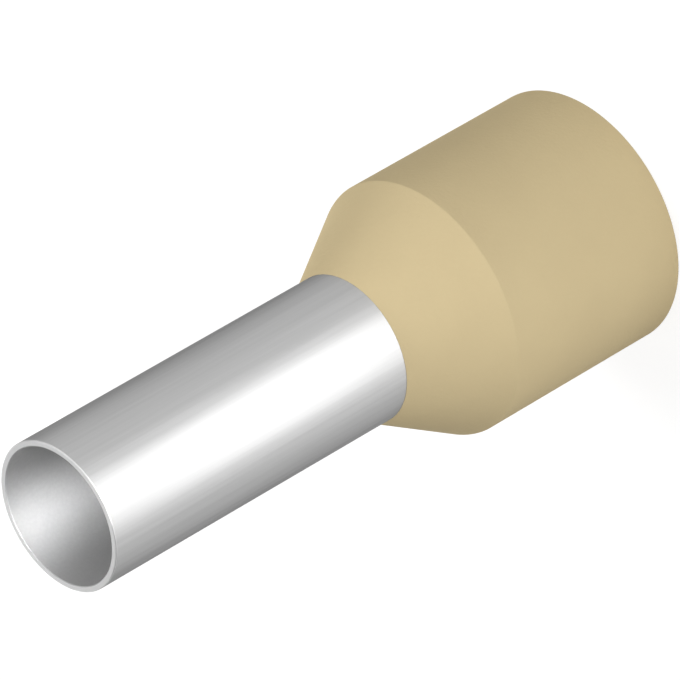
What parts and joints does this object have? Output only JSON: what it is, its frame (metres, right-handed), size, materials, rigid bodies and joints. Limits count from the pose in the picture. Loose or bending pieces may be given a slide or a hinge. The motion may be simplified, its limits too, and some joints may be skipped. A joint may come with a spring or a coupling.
{
  "type": "wire ferrule",
  "caption": "Insulated wire end ferrule: a thin tinned copper sleeve, flared at the rear, in an ivory plastic collar with a conical nose.",
  "frame": {"origin": "centre of the collar's mouth, on the flat rim that the ferrule stands on", "axes": "+Z along the ferrule's axis, from the collar's mouth to the open tip of the metal sleeve; the part is round, so X and Y are any two square directions"},
  "size_m": [0.0084, 0.0084, 0.022],
  "materials": {
    "tinned_copper": "satin",
    "ivory_plastic": "matte"
  },
  "bodies": {
    "root": {"metal_sleeve": "tinned_copper", "insulating_collar": "ivory_plastic"}
  },
  "joints": []
}
